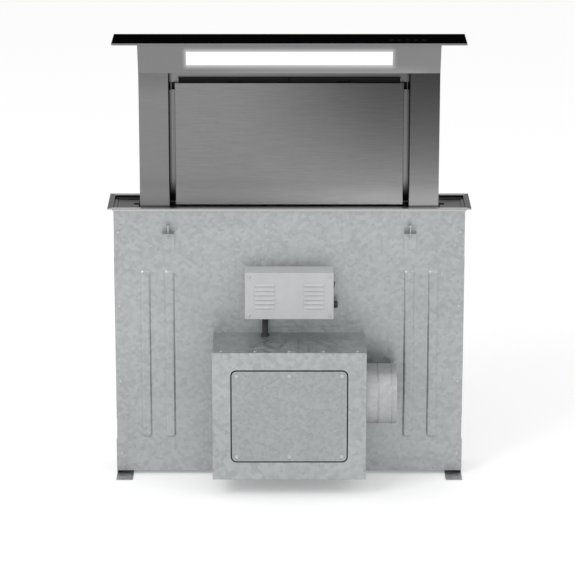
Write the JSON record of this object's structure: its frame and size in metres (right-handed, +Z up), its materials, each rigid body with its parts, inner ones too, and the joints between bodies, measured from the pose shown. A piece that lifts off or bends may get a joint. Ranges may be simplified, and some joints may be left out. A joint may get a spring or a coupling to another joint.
{
  "type": "downdraft range hood",
  "caption": "Worktop downdraft extractor: a stainless tower with a black glass cap, lamp and tilting front panel rises from a slim under-counter chassis with a side duct.",
  "frame": {"origin": "centre of the hood's slot, on the worktop's top face (the underside of the ring's seal)", "axes": "+X to the right seen from the cook, +Y to the back, +Z up; drawn with the tower raised"},
  "size_m": [0.9, 0.3345, 1.1143],
  "materials": {
    "brushed_stainless": "horizontally brushed stainless steel, satin",
    "polished_rim": "fine brushed stainless steel with a bright edge",
    "black_glass": "opaque black glass, back-painted, polished",
    "galvanised_steel": "galvanised sheet steel, matt grey zinc",
    "dark_metal": "dark grey powder coat, matt",
    "bare_steel": "plain machined steel",
    "ground_rod": "ground and hard chromed steel",
    "cast_aluminium": "die-cast aluminium, bead blasted",
    "black_anodised": "aluminium channel, black anodised",
    "filter_mesh": "expanded aluminium mesh in layers",
    "frosted_lens": "opal acrylic, frosted",
    "white_plastic": "white moulded plastic",
    "light_grey_plastic": "light grey moulded plastic, fine texture",
    "dark_plastic": "black glass-filled nylon",
    "gloss_black_plastic": "black moulded plastic, glossy",
    "circuit_board": "green solder-masked laminate",
    "motor_paint": "black stoved motor paint",
    "screw_zinc": "zinc plated steel",
    "seal_rubber": "black foam rubber seal"
  },
  "bodies": {
    "chassis": {"worktop_seal": "seal_rubber", "trim_ring": "polished_rim", "closing_plate_left": "dark_metal", "closing_plate_right": "dark_metal", "chassis_front": "galvanised_steel", "chassis_rear": "galvanised_steel", "chassis_side_left": "galvanised_steel", "chassis_side_right": "galvanised_steel", "chassis_floor": "galvanised_steel", "floor_bracket_left": "galvanised_steel", "floor_bracket_right": "galvanised_steel", "chassis_screws": "screw_zinc", "worktop_clamps": "galvanised_steel", "guide_rod_left": "ground_rod", "guide_rod_right": "ground_rod", "rod_clamps": "cast_aluminium", "rack_left": "bare_steel", "rack_right": "bare_steel", "blower_box": "galvanised_steel", "scroll_housing": "dark_plastic", "blower_motor": "motor_paint", "duct_collar": "galvanised_steel", "control_box": "light_grey_plastic", "control_box_cover": "light_grey_plastic", "control_board": "circuit_board", "cable_gland": "dark_plastic"},
    "carriage": {"mast_left": "bare_steel", "mast_right": "bare_steel", "carriage_crossbar": "bare_steel", "guide_blocks_left": "dark_plastic", "guide_blocks_right": "dark_plastic", "lift_gearbox": "cast_aluminium", "lift_motor": "motor_paint", "shelf_plate": "dark_metal", "column_left": "brushed_stainless", "column_right": "brushed_stainless", "back_panel": "brushed_stainless", "tower_screws": "screw_zinc", "filter_surround": "brushed_stainless", "filter_frame_left": "black_anodised", "filter_frame_right": "black_anodised", "filter_mesh_left": "filter_mesh", "filter_mesh_right": "filter_mesh", "head_shell": "brushed_stainless", "led_lens": "frosted_lens", "led_tray": "white_plastic", "led_driver": "white_plastic", "cap_tray": "polished_rim", "cap_glass": "black_glass", "touch_board": "circuit_board"},
    "lift_shaft": {"cross_shaft": "bare_steel", "pinion_left": "bare_steel", "pinion_right": "bare_steel"},
    "tilting_panel": {"front_panel": "brushed_stainless"},
    "latch_left": {"filter_latch_left": "gloss_black_plastic"},
    "latch_right": {"filter_latch_right": "gloss_black_plastic"},
    "fan_wheel": {"impeller": "dark_plastic"},
    "flap_front": {"damper_front": "white_plastic"},
    "flap_rear": {"damper_rear": "white_plastic"},
    "switch_rocker": {"mains_switch": "gloss_black_plastic"}
  },
  "joints": [
    {"name": "lift", "type": "slide", "parent": "chassis", "child": "carriage", "axis": [0, 0, 1], "range_m": [-0.412, 0]},
    {"name": "lift_shaft_turn", "type": "hinge", "parent": "carriage", "child": "lift_shaft", "pos_m": [0, 0.033, -0.12], "axis": [1, 0, 0], "range_deg": [0, 1312]},
    {"name": "front_panel_tilt", "type": "hinge", "parent": "carriage", "child": "tilting_panel", "pos_m": [0, 0.004, 0], "axis": [1, 0, 0], "range_deg": [0, 30]},
    {"name": "latch_left_slide", "type": "slide", "parent": "carriage", "child": "latch_left", "axis": [0, 0, 1], "range_m": [-0.005, 0], "stiffness_N_per_m": 300, "springref_m": 0.003},
    {"name": "latch_right_slide", "type": "slide", "parent": "carriage", "child": "latch_right", "axis": [0, 0, 1], "range_m": [-0.005, 0], "stiffness_N_per_m": 300, "springref_m": 0.003},
    {"name": "fan_spin", "type": "hinge", "parent": "chassis", "child": "fan_wheel", "pos_m": [0, -0.1225, -0.5], "axis": [0, 1, 0], "continuous": true},
    {"name": "flap_front_swing", "type": "hinge", "parent": "chassis", "child": "flap_front", "pos_m": [0.199, -0.148, -0.454], "axis": [0, 0, 1], "range_deg": [0, 80], "stiffness_Nm_per_rad": 0.02},
    {"name": "flap_rear_swing", "type": "hinge", "parent": "chassis", "child": "flap_rear", "pos_m": [0.199, -0.141, -0.454], "axis": [0, 0, -1], "range_deg": [0, 80], "stiffness_Nm_per_rad": 0.02},
    {"name": "mains_rocker", "type": "hinge", "parent": "chassis", "child": "switch_rocker", "pos_m": [0.106, -0.0875, -0.188], "axis": [0, -1, 0], "range_deg": [0, 16]}
  ],
  "couplings": [
    {"joint": "lift_shaft_turn", "follows": "lift", "rad_per_m": -55.556}
  ]
}
